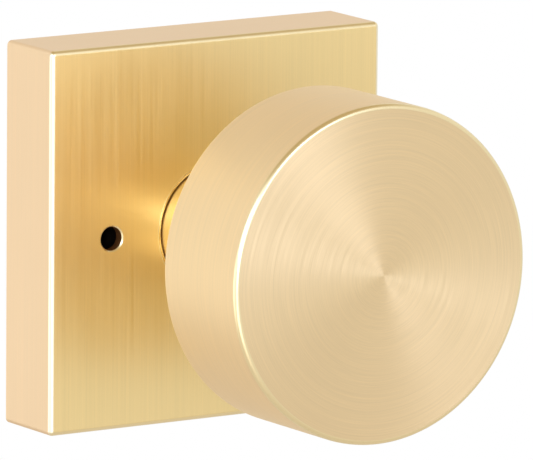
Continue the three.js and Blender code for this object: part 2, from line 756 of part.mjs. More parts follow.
add("rose_cover", roseCover(), satinBrass);
add("mounting_plate", mountingPlate(), zincSteel);
add("spring_housing", springHousing(), castZinc);
add("neck_bushing", neckBushing(), acetal);
add("backing_washer", backingWasher(), zincSteel);
add("stop_pin", stopPin(), darkSteel);
EAR_PLACES.forEach(([x, z], i) => add(`housing_screw_${i + 1}`, housingScrew(), zincSteel, x, z));
add("mounting_post_upper", mountingPost(), zincSteel, 0, POST_SPACING / 2);
add("mounting_post_lower", mountingPost(), zincSteel, 0, -POST_SPACING / 2);
add(
  "rose_set_screw",
  grubScrew(ROSE_SCREW_RADIUS, ROSE_SCREW_DEPTH, -ROSE_SIDE / 2 + 0.4, -PAN_HALF - FIT_GAP),
  darkSteel,
);
add("release_guide", releaseGuide(), darkSteel, RELEASE_X);
add("release_spring", releaseSpring(), springSteel, RELEASE_X);
add("return_spring", returnSpring(), springSteel);

add("knob_shell", knobShell(), satinBrass);
add("knob_back_plate", knobBackPlate(), satinBrass);
add("knob_neck", knobNeck(), satinBrass);
add("knob_insert", knobInsert(), castZinc);
add("knob_shank", knobShank(), zincSteel);
add(
  "knob_set_screw",
  grubScrew(NECK_SCREW_RADIUS, NECK_SCREW_DEPTH, -NECK_RADIUS + 0.4, NECK_SCREW_TIP),
  darkSteel,
);
add("spring_driver", springDriver(), zincSteel);
add("retaining_ring", retainingRing(), springSteel);
add("spindle", spindle(), zincSteel);
add("spindle_pin", spindlePin(), darkSteel);

add("release_plunger", releasePlunger(), darkSteel, RELEASE_X);
add("release_clip", releaseClip(), springSteel, RELEASE_X);

export default doorKnob;
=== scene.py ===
"""Looks of the door knob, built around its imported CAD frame.

Sizes are millimetres. A depth is a distance out from the door's face: depth d is the plane y = -d, and a
negative depth lies inside the door. Points are (x, depth, z), and turned outlines are (radius, depth).
The main sizes and places come from the boxes of the CAD nodes.
"""

import json
import math

import bmesh
import bpy
from mathutils import Matrix, Vector

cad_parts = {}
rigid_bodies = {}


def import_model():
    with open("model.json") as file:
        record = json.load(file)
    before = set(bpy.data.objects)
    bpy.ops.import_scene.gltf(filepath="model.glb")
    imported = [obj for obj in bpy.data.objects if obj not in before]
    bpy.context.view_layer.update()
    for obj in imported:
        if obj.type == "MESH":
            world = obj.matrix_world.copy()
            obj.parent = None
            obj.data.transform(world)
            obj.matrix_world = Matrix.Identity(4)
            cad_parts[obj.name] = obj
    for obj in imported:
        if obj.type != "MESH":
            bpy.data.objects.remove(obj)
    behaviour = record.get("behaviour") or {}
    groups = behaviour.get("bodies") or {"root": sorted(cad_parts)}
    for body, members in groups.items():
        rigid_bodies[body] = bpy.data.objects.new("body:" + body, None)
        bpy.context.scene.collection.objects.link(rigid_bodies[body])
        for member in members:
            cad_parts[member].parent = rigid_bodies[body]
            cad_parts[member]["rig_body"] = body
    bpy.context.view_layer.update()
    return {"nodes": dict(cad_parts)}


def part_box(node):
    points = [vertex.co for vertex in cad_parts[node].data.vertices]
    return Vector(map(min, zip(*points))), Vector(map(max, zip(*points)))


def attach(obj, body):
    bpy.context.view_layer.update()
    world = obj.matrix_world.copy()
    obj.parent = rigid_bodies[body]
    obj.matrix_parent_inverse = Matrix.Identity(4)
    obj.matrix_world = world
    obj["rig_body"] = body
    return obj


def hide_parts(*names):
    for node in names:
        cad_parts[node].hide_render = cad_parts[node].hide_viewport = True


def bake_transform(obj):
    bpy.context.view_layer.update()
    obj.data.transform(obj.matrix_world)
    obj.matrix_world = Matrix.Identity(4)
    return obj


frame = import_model()
scene = bpy.context.scene

MM = 0.001
TAU = 2 * math.pi

# ---------------------------------------------------------------- sizes and places


def measured(length):
    """A length from the frame in millimetres, rounded to the micrometre."""
    return round(length / MM, 3)


def centre_of(node):
    """The middle of a CAD node, as an (x, depth, z) point."""
    low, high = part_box(node)
    x, y, z = (low + high) / 2
    return measured(x), measured(-y), measured(z)


def half_width(node):
    """Half of what a CAD node measures along X, which is the radius of a turned one."""
    low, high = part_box(node)
    return measured((high.x - low.x) / 2)


def depths(node):
    """The depths of a CAD node's back and front."""
    low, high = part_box(node)
    return measured(-high.y), measured(-low.y)


def heights(node):
    """The lowest and highest z of a CAD node."""
    low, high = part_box(node)
    return measured(low.z), measured(high.z)


ROSE_SIDE = 2 * half_width("rose_cover")
ROSE_DEPTH = depths("rose_cover")[1]
ROSE_FRONT_WALL = 2.0
ROSE_SIDE_WALL = 1.6
ROSE_BORE = 11.75
KNOB_RADIUS = half_width("knob_shell")
KNOB_BACK, KNOB_FRONT = depths("knob_shell")
KNOB_CROWN = 0.8
KNOB_RIM = KNOB_FRONT - KNOB_CROWN
KNOB_WALL = 1.6
NECK_RADIUS = 11.25
NECK_WALL = 1.65
JOURNAL = 8.5
RELEASE_X = centre_of("release_plunger")[0]
RELEASE_HOLE = 2.1
ROSE_SCREW_DEPTH = centre_of("rose_set_screw")[1]
KNOB_SCREW_DEPTH = centre_of("knob_set_screw")[1]
CROSS_PIN_DEPTH = centre_of("spindle_pin")[1]
STOP_PIN_Z = centre_of("stop_pin")[2]
POST_Z = centre_of("mounting_post_upper")[2]
HOUSING_SCREWS = [f"housing_screw_{i + 1}" for i in range(4)]
EARS = [(centre_of(node)[0], centre_of(node)[2]) for node in HOUSING_SCREWS]


# ---------------------------------------------------------------- mesh helpers


def make(name, points, faces):
    """A mesh object from (x, depth, z) points, with its faces pointing out."""
    mesh = bpy.data.meshes.new(name)
    mesh.from_pydata([(x * MM, -d * MM, z * MM) for x, d, z in points], [], faces)
    obj = bpy.data.objects.new(name, mesh)
    scene.collection.objects.link(obj)
    work = bmesh.new()
    work.from_mesh(mesh)
    bmesh.ops.remove_doubles(work, verts=work.verts, dist=1e-7)
    bmesh.ops.recalc_face_normals(work, faces=work.faces)
    work.to_mesh(mesh)
    work.free()
    return obj


def bake(obj):
    """Applies the object's modifiers to its mesh."""
    evaluated = obj.evaluated_get(bpy.context.evaluated_depsgraph_get())
    mesh = bpy.data.meshes.new_from_object(evaluated)
    obj.modifiers.clear()
    obj.data = mesh
    return obj


def clean(obj):
    """Merges points that nearly touch, and clears the slivers that cuts and bevels leave."""
    sliver = 0.004 * MM
    work = bmesh.new()
    work.from_mesh(obj.data)
    bmesh.ops.remove_doubles(work, verts=work.verts, dist=sliver)
    bmesh.ops.dissolve_degenerate(work, edges=work.edges, dist=sliver)
    loose = [edge for edge in work.edges if not edge.link_faces]
    bmesh.ops.delete(work, geom=loose, context="EDGES")
    work.to_mesh(obj.data)
    work.free()


def combine(base, operation, *others):
    """Joins the others to the base, cuts them from it, or keeps what it shares with them."""
    for other in others:
        step = base.modifiers.new(other.name, "BOOLEAN")
        step.operation = operation
        step.object = other
        step.solver = "EXACT"
    bake(base)
    for other in others:
        bpy.data.objects.remove(other)
    return base


def cut(base, *others):
    return combine(base, "DIFFERENCE", *others)


def join(base, *others):
    return combine(base, "UNION", *others)


def bevel(obj, width, segments=3, angle=30):
    clean(obj)
    step = obj.modifiers.new("bevel", "BEVEL")
    step.width = width * MM
    step.segments = segments
    step.limit_method = "ANGLE"
    step.angle_limit = math.radians(angle)
    return bake(obj)


def filleted(corners, steps=6):
    """An outline with round corners, from (a, b, radius) corners. A corner with no radius stays sharp."""
    count = len(corners)
    outline = []
    for i, corner in enumerate(corners):
        here = Vector(corner[:2])
        radius = corner[2] if len(corner) > 2 else 0
        if not radius:
            outline.append(tuple(here))
            continue
        before = (Vector(corners[i - 1][:2]) - here).normalized()
        after = (Vector(corners[(i + 1) % count][:2]) - here).normalized()
        half = before.angle(after) / 2
        centre = here + (before + after).normalized() * radius / math.sin(half)
        start = here + before * radius / math.tan(half) - centre
        end = here + after * radius / math.tan(half) - centre
        sweep = start.angle_signed(end)
        for k in range(steps + 1):
            turned = start.copy()
            turned.rotate(Matrix.Rotation(-sweep * k / steps, 2))
            outline.append(tuple(centre + turned))
    return outline


def lathe(name, corners, segments=160, x=0.0, z=0.0, steps=6):
    """A body turned about the Y axis or a line parallel to it, from (radius, depth, fillet) corners."""
    outline = filleted(corners, steps)
    points, rings = [], []
    for radius, depth in outline:
        if abs(radius) < 1e-6:
            rings.append([len(points)])
            points.append((x, depth, z))
            continue
        rings.append(list(range(len(points), len(points) + segments)))
        for k in range(segments):
            angle = TAU * k / segments
            points.append((x + radius * math.cos(angle), depth, z + radius * math.sin(angle)))
    faces = []
    for a, b in zip(rings, rings[1:] + rings[:1]):
        for k in range(segments):
            n = (k + 1) % segments
            quad = [a[k % len(a)], a[n % len(a)], b[n % len(b)], b[k % len(b)]]
            face = list(dict.fromkeys(quad))
            if len(face) > 2:
                faces.append(face)
    return make(name, points, faces)


def loft(name, rings):
    """A solid through rings of (x, depth, z) points that all have the same number, closed at both ends."""
    count = len(rings[0])
    points = [p for ring in rings for p in ring]
    faces = [list(range(count)), list(range(len(points) - count, len(points)))]
    for i in range(len(rings) - 1):
        for k in range(count):
            n = (k + 1) % count
            faces.append([i * count + k, i * count + n, (i + 1) * count + n, (i + 1) * count + k])
    return make(name, points, faces)


def rounded_square(side, radius, steps=8):
    half = side / 2
    corners = [(half, half), (-half, half), (-half, -half), (half, -half)]
    return filleted([(*corner, radius) for corner in corners], steps)


def prism(name, outline, back, front):
    """An outline of (x, z) points between two depths."""
    return loft(name, [[(x, depth, z) for x, z in outline] for depth in (back, front)])


def block(name, low, high):
    (x0, back, z0), (x1, front, z1) = low, high
    return prism(name, [(x0, z0), (x1, z0), (x1, z1), (x0, z1)], back, front)


def upright(obj, depth):
    """Turns a body made about the Y axis to hang along Z at a depth: what was in front comes below."""
    obj.data.transform(Matrix.Translation((0, -depth * MM, 0)) @ Matrix.Rotation(math.pi / 2, 4, "X"))
    return obj


def crosswise(obj, depth):
    """Turns a body made about the Y axis to lie along X at a depth."""
    obj.data.transform(Matrix.Translation((0, -depth * MM, 0)) @ Matrix.Rotation(math.pi / 2, 4, "Z"))
    return obj


def screw_rod(name, radius, pitch, back, front, x=0.0, z=0.0, height=0.28, sides=48):
    """A threaded rod: its surface is a grid whose radius follows a helical ridge with a flat crest."""
    rows_in_a_pitch = 8
    rows = max(4, round((front - back) / pitch * rows_in_a_pitch))
    rings = []
    for i in range(rows + 1):
        depth = back + (front - back) * i / rows
        ring = []
        for k in range(sides):
            turn = (depth / pitch - k / sides) % 1
            ridge = 1 - abs(2 * turn - 1)
            r = radius - height * (1 - min(1, 1.25 * ridge))
            angle = TAU * k / sides
            ring.append((x + r * math.cos(angle), depth, z + r * math.sin(angle)))
        rings.append(ring)
    return loft(name, rings)


def tube(name, path, radius, sides=14):
    """A round wire along a path of (x, depth, z) points, with rounded ends."""
    end_rings = ((0.3, 0.7), (0.2, 0.92))
    centres = [Vector(p) for p in path]
    last = len(centres) - 1
    normal = (centres[1] - centres[0]).normalized().orthogonal().normalized()
    rings = []
    for i, centre in enumerate(centres):
        tangent = (centres[min(i + 1, last)] - centres[max(i - 1, 0)]).normalized()
        normal = (normal - tangent * normal.dot(tangent)).normalized()
        side = tangent.cross(normal)
        turns = [TAU * k / sides for k in range(sides)]
        spokes = [(normal * math.cos(turn) + side * math.sin(turn)) * radius for turn in turns]
        if i == 0:
            for out, share in end_rings:
                rings.append([centre - tangent * radius * out + spoke * share for spoke in spokes])
        rings.append([centre + spoke for spoke in spokes])
        if i == last:
            for out, share in reversed(end_rings):
                rings.append([centre + tangent * radius * out + spoke * share for spoke in spokes])
    return loft(name, rings)


# ---------------------------------------------------------------- materials


class Shader:
    """A short way to write a node tree."""

    def __init__(self, name):
        self.material = bpy.data.materials.new(name)
        self.material.use_nodes = True
        self.tree = self.material.node_tree
        self.tree.nodes.clear()
        self.output = self.tree.nodes.new("ShaderNodeOutputMaterial")
        self.surface = self.tree.nodes.new("ShaderNodeBsdfPrincipled")
        self.link(self.surface.outputs[0], self.output.inputs[0])

    def link(self, source, target):
        if hasattr(source, "is_output"):
            self.tree.links.new(source, target)
        elif source is not None:
            target.default_value = source

    def math(self, operation, *values):
        node = self.tree.nodes.new("ShaderNodeMath")
        node.operation = operation
        for value, target in zip(values, node.inputs):
            self.link(value, target)
        return node.outputs[0]

    def vector(self, operation, *values):
        node = self.tree.nodes.new("ShaderNodeVectorMath")
        node.operation = operation
        for value, target in zip(values, node.inputs):
            self.link(value, target)
        return node.outputs[1] if operation == "LENGTH" else node.outputs[0]

    def split(self, vector):
        node = self.tree.nodes.new("ShaderNodeSeparateXYZ")
        self.link(vector, node.inputs[0])
        return node.outputs

    def merge(self, x, y, z):
        node = self.tree.nodes.new("ShaderNodeCombineXYZ")
        for value, target in zip((x, y, z), node.inputs):
            self.link(value, target)
        return node.outputs[0]

    def noise(self, vector, scale=1.0, detail=3.0, roughness=0.6):
        node = self.tree.nodes.new("ShaderNodeTexNoise")
        self.link(vector, node.inputs["Vector"])
        node.inputs["Scale"].default_value = scale
        node.inputs["Detail"].default_value = detail
        node.inputs["Roughness"].default_value = roughness
        return node.outputs[0]

    def span(self, value, low, high, to_low, to_high):
        node = self.tree.nodes.new("ShaderNodeMapRange")
        for source, target in zip((value, low, high, to_low, to_high), node.inputs):
            self.link(source, target)
        return node.outputs[0]

    def tint(self, colour, factor):
        """A colour times a number."""
        node = self.tree.nodes.new("ShaderNodeVectorMath")
        node.operation = "SCALE"
        self.link(colour, node.inputs[0])
        self.link(factor, node.inputs["Scale"])
        return node.outputs[0]

    def coordinates(self):
        return self.tree.nodes.new("ShaderNodeTexCoord").outputs["Object"]

    def bump(self, height, distance):
        node = self.tree.nodes.new("ShaderNodeBump")
        node.inputs["Strength"].default_value = 1.0
        node.inputs["Distance"].default_value = distance * MM
        self.link(height, node.inputs["Height"])
        return node.outputs[0]

    def mix(self, factor, a, b):
        node = self.tree.nodes.new("ShaderNodeMix")
        node.data_type = "RGBA"
        self.link(factor, node.inputs[0])
        for value, target in ((a, node.inputs[6]), (b, node.inputs[7])):
            self.link((*value, 1) if isinstance(value, tuple) else value, target)
        return node.outputs[2]

    def set(self, **values):
        names = {"colour": "Base Color", "normal": "Normal", "tangent": "Tangent", "roughness": "Roughness"}
        names |= {"metallic": "Metallic", "anisotropy": "Anisotropic", "rotation": "Anisotropic Rotation"}
        names |= {"coat": "Coat Weight", "coat_roughness": "Coat Roughness"}
        for key, value in values.items():
            self.link((*value, 1) if isinstance(value, tuple) else value, self.surface.inputs[names[key]])
        return self.material


def grain_field(shader, grain, lengthwise, across):
    """Coordinates that are short across the brush marks and long along them."""
    position = shader.coordinates()
    x, y, z = shader.split(position)
    if grain == "upright":
        return shader.merge(
            shader.math("MULTIPLY", x, across),
            shader.math("MULTIPLY", y, across),
            shader.math("MULTIPLY", z, lengthwise),
        )
    flat = shader.merge(x, 0.0, z)
    radius = shader.vector("LENGTH", flat)
    unit = shader.vector("NORMALIZE", flat)
    ux, _, uz = shader.split(unit)
    return shader.merge(
        shader.math("MULTIPLY", ux, lengthwise),
        shader.math("MULTIPLY", shader.math("SUBTRACT", radius, y), across),
        shader.math("MULTIPLY", uz, lengthwise),
    )


def brushed(name, colour, roughness, grain, anisotropy, contrast=0.05, relief=0.002, coat=0.5):
    """Brushed metal under clear lacquer. The marks run upright, or round the turning axis.

    The noise scales are marks to the metre: about 0.15 mm apart for the fine ones and 0.5 mm for the broad.
    """
    shader = Shader(name)
    along = 30.0 if grain == "upright" else 1.6
    fine_across, broad_across = 6500.0, 1900.0
    fine = shader.noise(grain_field(shader, grain, along, fine_across), 1.0, 2.0, 0.7)
    broad = shader.noise(grain_field(shader, grain, along * 0.6, broad_across), 1.0, 3.0, 0.6)
    cloud = shader.noise(shader.coordinates(), 28.0, 2.0, 0.5)
    marks = shader.math("ADD", shader.math("MULTIPLY", fine, 0.6), shader.math("MULTIPLY", broad, 0.4))
    shade = shader.span(marks, 0.3, 0.7, 1 - contrast, 1 + contrast)
    shade = shader.math("MULTIPLY", shade, shader.span(cloud, 0.3, 0.7, 0.985, 1.015))
    tangent = shader.tree.nodes.new("ShaderNodeTangent")
    tangent.direction_type = "RADIAL"
    tangent.axis = "Y"
    direction = tangent.outputs[0]
    if grain == "upright":
        geometry = shader.tree.nodes.new("ShaderNodeNewGeometry")
        lean = shader.math("ABSOLUTE", shader.split(geometry.outputs["Normal"])[2])
        lying = shader.math("GREATER_THAN", lean, 0.7)
        direction = shader.merge(lying, 0.0, shader.math("SUBTRACT", 1.0, lying))
    return shader.set(
        colour=shader.tint(colour, shade),
        roughness=shader.span(marks, 0.3, 0.7, roughness * 0.85, roughness * 1.15),
        metallic=1.0,
        anisotropy=anisotropy,
        rotation=0.25,
        tangent=direction,
        normal=shader.bump(marks, relief),
        coat=coat,
        coat_roughness=0.3,
    )


def plated(name, colour, roughness, relief=0.006, spread=0.12):
    """Plated or oxidised steel: fine drawn marks, a slow change of colour, and a little relief."""
    shader = Shader(name)
    x, y, z = shader.split(shader.coordinates())
    across, along = 1800.0, 160.0
    drawn = [shader.math("MULTIPLY", part, scale) for part, scale in ((x, across), (y, along), (z, across))]
    marks = shader.noise(shader.merge(*drawn), 1.0, 3.0, 0.6)
    cloud = shader.noise(shader.coordinates(), 240.0, 3.0, 0.6)
    warm = (colour[0] * 1.02, colour[1], colour[2] * 0.95)
    cool = (colour[0] * 0.93, colour[1] * 0.98, colour[2] * 1.04)
    tone = shader.mix(shader.span(cloud, 0.35, 0.65, 0.0, 1.0), warm, cool)
    return shader.set(
        colour=shader.tint(tone, shader.span(marks, 0.3, 0.7, 1 - spread / 2, 1 + spread / 2)),
        roughness=shader.span(cloud, 0.3, 0.7, roughness * 0.8, roughness * 1.25),
        metallic=1.0,
        normal=shader.bump(shader.math("ADD", marks, cloud), relief),
    )


def cast(name, colour):
    """Bare die casting: a fine pitted skin."""
    shader = Shader(name)
    pits = shader.noise(shader.coordinates(), 1500.0, 4.0, 0.65)
    cloud = shader.noise(shader.coordinates(), 120.0, 2.0, 0.5)
    return shader.set(
        colour=shader.tint(colour, shader.span(cloud, 0.3, 0.7, 0.88, 1.1)),
        roughness=shader.span(pits, 0.3, 0.7, 0.42, 0.62),
        metallic=1.0,
        normal=shader.bump(pits, 0.03),
    )


def plastic(name, colour):
    shader = Shader(name)
    skin = shader.noise(shader.coordinates(), 900.0, 3.0, 0.6)
    return shader.set(
        colour=shader.tint(colour, shader.span(skin, 0.3, 0.7, 0.96, 1.03)),
        roughness=shader.span(skin, 0.3, 0.7, 0.4, 0.55),
        normal=shader.bump(skin, 0.01),
    )


BRASS = (0.92, 0.72, 0.35)
PALE_BRASS = (0.92, 0.71, 0.42)
# Deeper gold for the knob's back plate, as a painted reflection: it stands in for the deep gold that light
# bouncing between the knob and the rose gives the rose's face.
REFLECTION_TINT_BRASS = (0.92, 0.73, 0.25)
# The rose's sides: their paler, pinker tint is painted light, matched to how the light falls on them; their
# fainter brushing is their own finish.
ROSY_BRASS = (0.92, 0.695, 0.45)
# Paler brass on the rounded edges: its paleness is painted highlight that whitens the lines of light along
# the knob's rim, the rose's top and bottom edges and the release hole's mouth.
EDGE_HIGHLIGHT_BRASS = (0.94, 0.79, 0.47)
# Pale brass for the rose's upright rounded edges: a painted highlight, so each shows one white line.
HIGHLIGHT_BRASS = (0.97, 0.87, 0.64)
# Dark brown painted on the walls of the knob's bore and the release hole: painted shade inside them.
BORE_SHADE_BRASS = (0.55, 0.25, 0.08)
FAINT = {"contrast": 0.01, "relief": 0.0005}
SOFT = {"contrast": 0.02, "relief": 0.001}
brass_upright = brushed("satin_brass_upright", BRASS, 0.42, "upright", 0.5, coat=0.6)
# The rose's sides: a painted paler tint from how the light falls on them, on their own fainter brushing.
brass_side = brushed("satin_brass_side", ROSY_BRASS, 0.42, "upright", 0.3, contrast=0.03, coat=0.2)
brass_face = brushed("satin_brass_spun", PALE_BRASS, 0.38, "turned", 0.8, 0.065, 0.003, coat=1.0)
brass_wall = brushed("satin_brass_wall", PALE_BRASS, 0.48, "turned", 0.2, 0.05, 0.0015, coat=0.2)
brass_neck = brushed("satin_brass_neck", BRASS, 0.24, "turned", 0.2, **SOFT)
# The back plate's deeper gold paints the deep gold reflection on the rose's face.
brass_back = brushed("satin_brass_back", REFLECTION_TINT_BRASS, 0.4, "turned", 0.6)
# Rounded edges: less rough, and paler as a painted highlight.
brass_edge = brushed("satin_brass_edge", EDGE_HIGHLIGHT_BRASS, 0.32, "turned", 0.0, **FAINT, coat=1.0)
# The rose's upright rounded edges: pale brass that paints a white highlight on them.
brass_painted_highlight = brushed("satin_brass_painted_highlight", HIGHLIGHT_BRASS, 0.36, "upright", 0.0, **FAINT, coat=1.0)
# Walls of the bore and the release hole: dark brown as painted shade.
bore_painted_shade = brushed("bore_painted_shade", BORE_SHADE_BRASS, 0.5, "turned", 0.0, contrast=0.1, coat=0.0)
zinc = plated("zinc_plate", (0.5, 0.51, 0.5), 0.3)
spring_wire = plated("spring_wire", (0.42, 0.42, 0.43), 0.28)
oxide = plated("black_oxide", (0.085, 0.068, 0.055), 0.4)
casting = cast("die_casting", (0.5, 0.51, 0.53))
acetal = plastic("acetal", (0.83, 0.81, 0.75))


def dress(obj, node, material):
    """Smooths the piece between its sharp edges, gives it a material, and puts it in its CAD node's place."""
    sharp = math.radians(28)
    clean(obj)
    for polygon in obj.data.polygons:
        polygon.use_smooth = True
    obj.data.set_sharp_from_angle(angle=sharp)
    weights = obj.modifiers.new("normals", "WEIGHTED_NORMAL")
    weights.keep_sharp = True
    weights.weight = 100
    bake(obj)
    obj.data.materials.clear()
    obj.data.materials.append(material)
    obj.name = node + "_fine"
    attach(obj, frame["nodes"][node]["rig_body"])
    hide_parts(node)
    return obj


# ---------------------------------------------------------------- the rose


def rose_cover():
    """Hollow square cover with round edges, a boss for its set screw, and its three holes."""
    edge, corner, steps = 0.9, 0.9, 8
    rings = [[(x, 0, z) for x, z in rounded_square(ROSE_SIDE, corner)]]
    for k in range(steps + 1):
        angle = math.pi / 2 * k / steps
        inset = edge * (1 - math.cos(angle))
        depth = ROSE_DEPTH - edge * (1 - math.sin(angle))
        outline = rounded_square(ROSE_SIDE - 2 * inset, max(corner - inset, 0.05))
        rings.append([(x, depth, z) for x, z in outline])
    rose = loft("rose_cover", rings)
    inside = rounded_square(ROSE_SIDE - 2 * ROSE_SIDE_WALL, 1.5)
    cut(rose, prism("cavity", inside, -1, ROSE_DEPTH - ROSE_FRONT_WALL))
    join(rose, block("boss", (-4, 1.5, -32.4), (4, 8.5, -29.5)))
    front, below, above = ROSE_DEPTH, ROSE_DEPTH - 3.6, ROSE_DEPTH + 2.4
    lip = ROSE_BORE - 0.12
    round_lip = [(lip, front - 0.15), (lip + 0.04, front - 0.04), (lip + 0.15, front)]
    bore = lathe("bore", [(0, below), (lip, below), *round_lip, (lip + 0.15, above), (0, above)], 256)
    chamfer = 0.22
    mouth = RELEASE_HOLE + chamfer
    slope = [(RELEASE_HOLE, front - chamfer), (mouth, front)]
    outline = [(0, below), (RELEASE_HOLE, below), *slope, (mouth, above), (0, above)]
    hole = lathe("hole", outline, 96, RELEASE_X)
    screw_hole = lathe("screw_hole", [(0, 27), (2.15, 27), (2.15, 40), (0, 40)], 64)
    return cut(rose, bore, hole, upright(screw_hole, ROSE_SCREW_DEPTH))


def paint(obj, materials, choose):
    """Gives each face the material that choose(centre, normal) names by its place in the list."""
    obj.data.materials.clear()
    for material in materials:
        obj.data.materials.append(material)
    for polygon in obj.data.polygons:
        polygon.material_index = choose(polygon.center / MM, polygon.normal)


def rose_zone(centre, normal):
    """Front 0, sides 1 with a painted paler tint, rounded edges 2 with a painted highlight, or 3 where they
    stand upright with a stronger painted highlight, and the walls of the holes 4 with painted shade.
    """
    if math.hypot(centre.x - RELEASE_X, centre.z) < RELEASE_HOLE + 0.2:
        # The release hole's wall gets painted shade, and its mouth the edge brass with its painted highlight.
        return 4 if -centre.y < ROSE_DEPTH - 0.25 else 2
    lean = abs(normal.y)
    if lean < 0.2:
        # The wall of the knob's bore gets painted shade.
        return 4 if math.hypot(centre.x, centre.z) < ROSE_BORE else 1
    if lean > 0.97:
        return 0
    # Upright rounded edges take the pale brass of the painted highlight; the others take the edge brass,
    # whose paleness is painted highlight too.
    return 3 if abs(normal.x) > abs(normal.z) else 2


rose = dress(rose_cover(), "rose_cover", brass_upright)
paint(rose, [brass_upright, brass_side, brass_edge, brass_painted_highlight, bore_painted_shade], rose_zone)

# ---------------------------------------------------------------- the knob


def knob_shell():
    """One-piece drum with a slightly crowned face and a rounded rim."""
    inner = KNOB_RADIUS - KNOB_WALL
    radii = (0, 3, 6, 9, 12, 15, 18, 21, 24, 26.5)
    crown = [(r, KNOB_RIM + KNOB_CROWN * (1 - (r / KNOB_RADIUS) ** 2)) for r in radii]
    outside = [(KNOB_RADIUS, KNOB_RIM, 0.9), (KNOB_RADIUS, KNOB_BACK, 0.5)]
    inside = [(inner, KNOB_BACK, 0.25), (inner, KNOB_RIM - KNOB_WALL, 1.0)]
    middle = (0, KNOB_RIM - KNOB_WALL + KNOB_CROWN / 2)
    return lathe("knob_shell", [*crown, *outside, *inside, middle], segments=288, steps=9)


def knob_back_plate():
    """Disc that closes the drum's back round the neck."""
    bore, outer = NECK_RADIUS + 0.3, half_width("knob_back_plate")
    back, front = depths("knob_back_plate")
    outline = [(bore, front), (outer, front), (outer, back, 0.3), (bore, back, 0.2)]
    return lathe("knob_back_plate", outline, 192)


def knob_neck():
    """Tube with a shoulder just inside the rose's bore, a flange inside the drum, and a screw hole below."""
    inner, shoulder, flange = NECK_RADIUS - NECK_WALL, NECK_RADIUS + 0.25, half_width("knob_neck")
    back, front = depths("knob_neck")
    step, under = 14.2, front - 1.3
    neck = lathe(
        "knob_neck",
        [
            (inner, back),
            (shoulder, back, 0.2),
            (shoulder, step, 0.1),
            (NECK_RADIUS, step),
            (NECK_RADIUS, under),
            (flange, under, 0.2),
            (flange, front, 0.2),
            (inner, front),
        ],
        192,
    )
    return cut(neck, upright(lathe("hole", [(0, 2), (2.3, 2), (2.3, 16), (0, 16)], 64), KNOB_SCREW_DEPTH))


def drum_zone(centre, normal):
    """Face 0, wall 1 and edges 2, whose paler brass paints part of their highlight."""
    lean = abs(normal.y)
    return 0 if lean > 0.996 else 1 if lean < 0.1 else 2


drum = dress(knob_shell(), "knob_shell", brass_face)
paint(drum, [brass_face, brass_wall, brass_edge], drum_zone)
dress(knob_back_plate(), "knob_back_plate", brass_back)
dress(knob_neck(), "knob_neck", brass_neck)

# ---------------------------------------------------------------- behind the rose


def rod(name, radius, back, front, x=0.0, z=0.0, edge=0.0, segments=48):
    """A plain rod along Y, with round edges if an edge radius is given."""
    outline = [(0, back), (radius, back, edge), (radius, front, edge), (0, front)]
    return lathe(name, outline, segments, x, z, steps=4)


def sector(inner, outer, start, end, steps=10):
    """An outline of (x, z) points between two radii and two angles in degrees."""
    turns = [math.radians(start + (end - start) * k / steps) for k in range(steps + 1)]
    outside = [(outer * math.cos(t), outer * math.sin(t)) for t in turns]
    inside = [(inner * math.cos(t), inner * math.sin(t)) for t in reversed(turns)]
    return outside + inside


def mounting_plate():
    """Stamped pan with a rounded bend, four lugs for the door's bore, and its holes."""
    side = 2 * half_width("mounting_plate")
    lug_end, lip = depths("mounting_plate")
    thick, bend = 1.8, 1.4
    rings = []
    for k in range(7):
        angle = math.pi / 2 * k / 6
        inset = bend * (1 - math.sin(angle))
        depth = bend * (1 - math.cos(angle))
        rings.append([(x, depth, z) for x, z in rounded_square(side - 2 * inset, 4 - inset)])
    rings.append([(x, lip - 0.15, z) for x, z in rounded_square(side, 4)])
    rings.append([(x, lip, z) for x, z in rounded_square(side - 0.3, 3.85)])
    plate = loft("mounting_plate", rings)
    cut(plate, prism("hollow", rounded_square(side - 3, 2.5), thick, lip + 1))
    for x, z in EARS:
        turn = math.degrees(math.atan2(z, x))
        lug = bevel(prism("lug", sector(24.8, 26.2, turn - 7, turn + 7), lug_end, 1.2), 0.35)
        join(plate, lug)
    holes = [rod("hole", 1.5, -1, 4, x, z) for x, z in EARS]
    holes += [rod("hole", 3.2, -1, 4, 0, side * POST_Z) for side in (-1, 1)]
    holes += [rod("hole", JOURNAL + 0.5, -1, 4, segments=96), rod("hole", 4.2, -1, 4, RELEASE_X)]
    return cut(plate, *holes, rod("hole", 1.2, -1, 4, 0, STOP_PIN_Z))


def spring_housing():
    """Cast cup with an ear at each screw and a slot for the spring's front leg."""
    back, top = depths("spring_housing")
    under = top - 1.2
    outer, inner, bore = 16.6, 15.2, 10.6
    outside = [(bore, top), (outer, top, 1.2), (outer, back)]
    inside = [(inner, back), (inner, under, 0.8), (bore, under)]
    cup = lathe("spring_housing", outside + inside, 128)
    for x, z in EARS:
        ear = rod("ear", 3.4, back, back + 2, x, z, edge=0.3)
        join(cup, cut(ear, rod("room", inner + 0.2, back - 1, back + 5)))
    screws = [rod("hole", 1.5, back - 1, back + 3, x, z) for x, z in EARS]
    return cut(cup, *screws, block("slot", (-1.05, 7.8, -17.6), (1.05, under, -14.2)))


